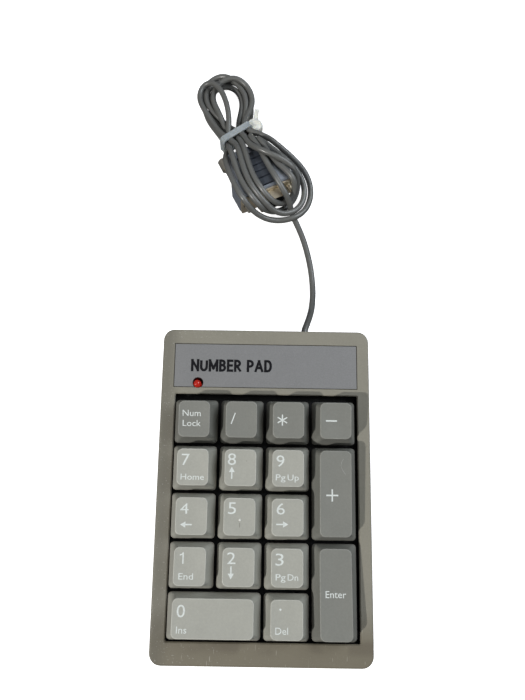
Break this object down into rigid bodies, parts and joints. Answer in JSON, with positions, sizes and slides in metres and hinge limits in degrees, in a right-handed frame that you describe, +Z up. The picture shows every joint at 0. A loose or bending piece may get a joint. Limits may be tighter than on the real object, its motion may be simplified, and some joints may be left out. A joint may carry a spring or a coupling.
{
  "type": "numeric keypad",
  "caption": "Low sloping desk keypad with full-travel keys, a status light, a label plate and a thin cord that is wound into a tied hank and ends in a D-shaped serial plug.",
  "frame": {"origin": "on the table under the middle of the case, at the bottom of the feet", "axes": "+X to the right of someone typing, +Y to the rear where the cord leaves, +Z up"},
  "size_m": [0.088, 0.2961, 0.0412],
  "materials": {
    "case_plastic": "fine-textured moulded ABS, olive grey",
    "label_plastic": "smooth blue-grey film",
    "pale_keycap": "fine-textured pale grey ABS",
    "dark_keycap": "fine-textured dark grey ABS",
    "guide_plastic": "black moulded plastic",
    "plunger_plastic": "natural acetal",
    "dome_rubber": "silicone rubber",
    "foot_rubber": "black rubber",
    "board": "phenolic laminate",
    "chip": "moulded epoxy",
    "steel": "zinc-plated steel",
    "led_red": "tinted clear epoxy",
    "cord_jacket": "smooth grey PVC",
    "tie_nylon": "translucent nylon",
    "hood_metal": "pale blue-grey metallised hood",
    "grip_plastic": "black moulded plastic",
    "flange_steel": "yellow-passivated plated steel"
  },
  "bodies": {
    "case": {"top_cover": "case_plastic", "bottom_cover": "case_plastic", "label_plate": "label_plastic", "status_led": "led_red", "circuit_board": "board", "controller_chip": "chip", "crystal": "steel", "key_guide_frame": "guide_plastic", "rubber_dome_sheet": "dome_rubber", "inner_lead": "cord_jacket", "strain_relief": "cord_jacket", "cord_run": "cord_jacket", "cord_hank": "cord_jacket", "cable_tie": "tie_nylon", "plug_hood": "hood_metal", "plug_grip": "grip_plastic", "plug_shell": "flange_steel", "plug_insert": "grip_plastic", "jackscrew_left": "steel", "jackscrew_right": "steel", "case_screw_left": "steel", "case_screw_right": "steel", "foot_front_left": "foot_rubber", "foot_front_right": "foot_rubber", "foot_rear_left": "foot_rubber", "foot_rear_right": "foot_rubber"},
    "key_num_lock": {"keycap_num_lock": "dark_keycap", "plunger_num_lock": "plunger_plastic"},
    "key_divide": {"keycap_divide": "dark_keycap", "plunger_divide": "plunger_plastic"},
    "key_multiply": {"keycap_multiply": "dark_keycap", "plunger_multiply": "plunger_plastic"},
    "key_minus": {"keycap_minus": "dark_keycap", "plunger_minus": "plunger_plastic"},
    "key_seven": {"keycap_seven": "pale_keycap", "plunger_seven": "plunger_plastic"},
    "key_eight": {"keycap_eight": "pale_keycap", "plunger_eight": "plunger_plastic"},
    "key_nine": {"keycap_nine": "pale_keycap", "plunger_nine": "plunger_plastic"},
    "key_plus": {"keycap_plus": "dark_keycap", "plunger_plus": "plunger_plastic"},
    "key_four": {"keycap_four": "pale_keycap", "plunger_four": "plunger_plastic"},
    "key_five": {"keycap_five": "pale_keycap", "plunger_five": "plunger_plastic"},
    "key_six": {"keycap_six": "pale_keycap", "plunger_six": "plunger_plastic"},
    "key_one": {"keycap_one": "pale_keycap", "plunger_one": "plunger_plastic"},
    "key_two": {"keycap_two": "pale_keycap", "plunger_two": "plunger_plastic"},
    "key_three": {"keycap_three": "pale_keycap", "plunger_three": "plunger_plastic"},
    "key_enter": {"keycap_enter": "dark_keycap", "plunger_enter": "plunger_plastic"},
    "key_zero": {"keycap_zero": "pale_keycap", "plunger_zero": "plunger_plastic"},
    "key_decimal": {"keycap_decimal": "pale_keycap", "plunger_decimal": "plunger_plastic"}
  },
  "joints": [
    {"name": "press_num_lock", "type": "slide", "parent": "case", "child": "key_num_lock", "axis": [0, 0.1132, -0.9936], "range_m": [0, 0.0035], "stiffness_N_per_m": 120, "springref_m": -0.0015, "deforming": ["rubber_dome_sheet"]},
    {"name": "press_divide", "type": "slide", "parent": "case", "child": "key_divide", "axis": [0, 0.1132, -0.9936], "range_m": [0, 0.0035], "stiffness_N_per_m": 120, "springref_m": -0.0015, "deforming": ["rubber_dome_sheet"]},
    {"name": "press_multiply", "type": "slide", "parent": "case", "child": "key_multiply", "axis": [0, 0.1132, -0.9936], "range_m": [0, 0.0035], "stiffness_N_per_m": 120, "springref_m": -0.0015, "deforming": ["rubber_dome_sheet"]},
    {"name": "press_minus", "type": "slide", "parent": "case", "child": "key_minus", "axis": [0, 0.1132, -0.9936], "range_m": [0, 0.0035], "stiffness_N_per_m": 120, "springref_m": -0.0015, "deforming": ["rubber_dome_sheet"]},
    {"name": "press_seven", "type": "slide", "parent": "case", "child": "key_seven", "axis": [0, 0.1132, -0.9936], "range_m": [0, 0.0035], "stiffness_N_per_m": 120, "springref_m": -0.0015, "deforming": ["rubber_dome_sheet"]},
    {"name": "press_eight", "type": "slide", "parent": "case", "child": "key_eight", "axis": [0, 0.1132, -0.9936], "range_m": [0, 0.0035], "stiffness_N_per_m": 120, "springref_m": -0.0015, "deforming": ["rubber_dome_sheet"]},
    {"name": "press_nine", "type": "slide", "parent": "case", "child": "key_nine", "axis": [0, 0.1132, -0.9936], "range_m": [0, 0.0035], "stiffness_N_per_m": 120, "springref_m": -0.0015, "deforming": ["rubber_dome_sheet"]},
    {"name": "press_plus", "type": "slide", "parent": "case", "child": "key_plus", "axis": [0, 0.1132, -0.9936], "range_m": [0, 0.0035], "stiffness_N_per_m": 120, "springref_m": -0.0015, "deforming": ["rubber_dome_sheet"]},
    {"name": "press_four", "type": "slide", "parent": "case", "child": "key_four", "axis": [0, 0.1132, -0.9936], "range_m": [0, 0.0035], "stiffness_N_per_m": 120, "springref_m": -0.0015, "deforming": ["rubber_dome_sheet"]},
    {"name": "press_five", "type": "slide", "parent": "case", "child": "key_five", "axis": [0, 0.1132, -0.9936], "range_m": [0, 0.0035], "stiffness_N_per_m": 120, "springref_m": -0.0015, "deforming": ["rubber_dome_sheet"]},
    {"name": "press_six", "type": "slide", "parent": "case", "child": "key_six", "axis": [0, 0.1132, -0.9936], "range_m": [0, 0.0035], "stiffness_N_per_m": 120, "springref_m": -0.0015, "deforming": ["rubber_dome_sheet"]},
    {"name": "press_one", "type": "slide", "parent": "case", "child": "key_one", "axis": [0, 0.1132, -0.9936], "range_m": [0, 0.0035], "stiffness_N_per_m": 120, "springref_m": -0.0015, "deforming": ["rubber_dome_sheet"]},
    {"name": "press_two", "type": "slide", "parent": "case", "child": "key_two", "axis": [0, 0.1132, -0.9936], "range_m": [0, 0.0035], "stiffness_N_per_m": 120, "springref_m": -0.0015, "deforming": ["rubber_dome_sheet"]},
    {"name": "press_three", "type": "slide", "parent": "case", "child": "key_three", "axis": [0, 0.1132, -0.9936], "range_m": [0, 0.0035], "stiffness_N_per_m": 120, "springref_m": -0.0015, "deforming": ["rubber_dome_sheet"]},
    {"name": "press_enter", "type": "slide", "parent": "case", "child": "key_enter", "axis": [0, 0.1132, -0.9936], "range_m": [0, 0.0035], "stiffness_N_per_m": 120, "springref_m": -0.0015, "deforming": ["rubber_dome_sheet"]},
    {"name": "press_zero", "type": "slide", "parent": "case", "child": "key_zero", "axis": [0, 0.1132, -0.9936], "range_m": [0, 0.0035], "stiffness_N_per_m": 120, "springref_m": -0.0015, "deforming": ["rubber_dome_sheet"]},
    {"name": "press_decimal", "type": "slide", "parent": "case", "child": "key_decimal", "axis": [0, 0.1132, -0.9936], "range_m": [0, 0.0035], "stiffness_N_per_m": 120, "springref_m": -0.0015, "deforming": ["rubber_dome_sheet"]}
  ]
}
